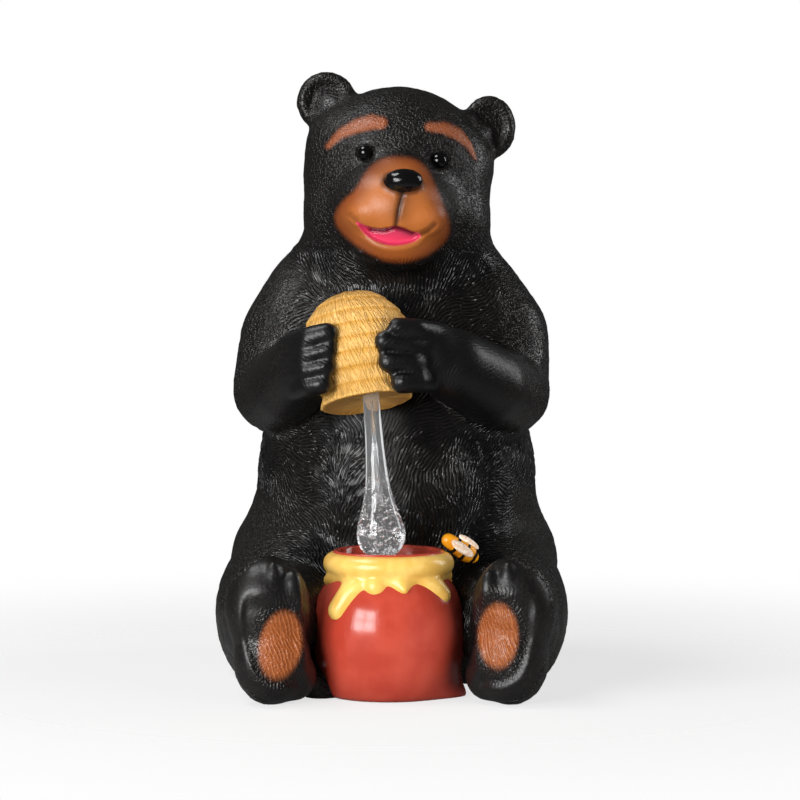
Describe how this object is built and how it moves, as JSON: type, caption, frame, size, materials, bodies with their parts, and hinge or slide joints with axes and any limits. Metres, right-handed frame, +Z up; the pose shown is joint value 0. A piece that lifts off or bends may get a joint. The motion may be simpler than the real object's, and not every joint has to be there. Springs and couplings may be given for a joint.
{
  "type": "solar bear garden statue",
  "caption": "Seated bear garden statue holding a straw beehive, from which a clear honey drip hangs into an open honey pot with a bee on its rim; small solar panel in the back.",
  "frame": {"origin": "on the ground, at the middle of the bounding box in plan", "axes": "+Z up, the bear faces -Y, +X is the bear's own left"},
  "size_m": [0.1441, 0.195, 0.2448],
  "materials": {
    "painted_resin": "black paint with a satin sheen on cast fur; red pot, yellow honey and hive, orange muzzle",
    "clear_acrylic": "clear and glossy, with air bubbles in its lower part",
    "painted_bee": "orange-yellow paint with black stripes and cream wings",
    "solar_cell": "dark blue cell under a clear resin face"
  },
  "bodies": {
    "root": {"bear_statue": "painted_resin", "honey_drip": "clear_acrylic", "bee": "painted_bee", "solar_panel": "solar_cell"}
  },
  "joints": []
}
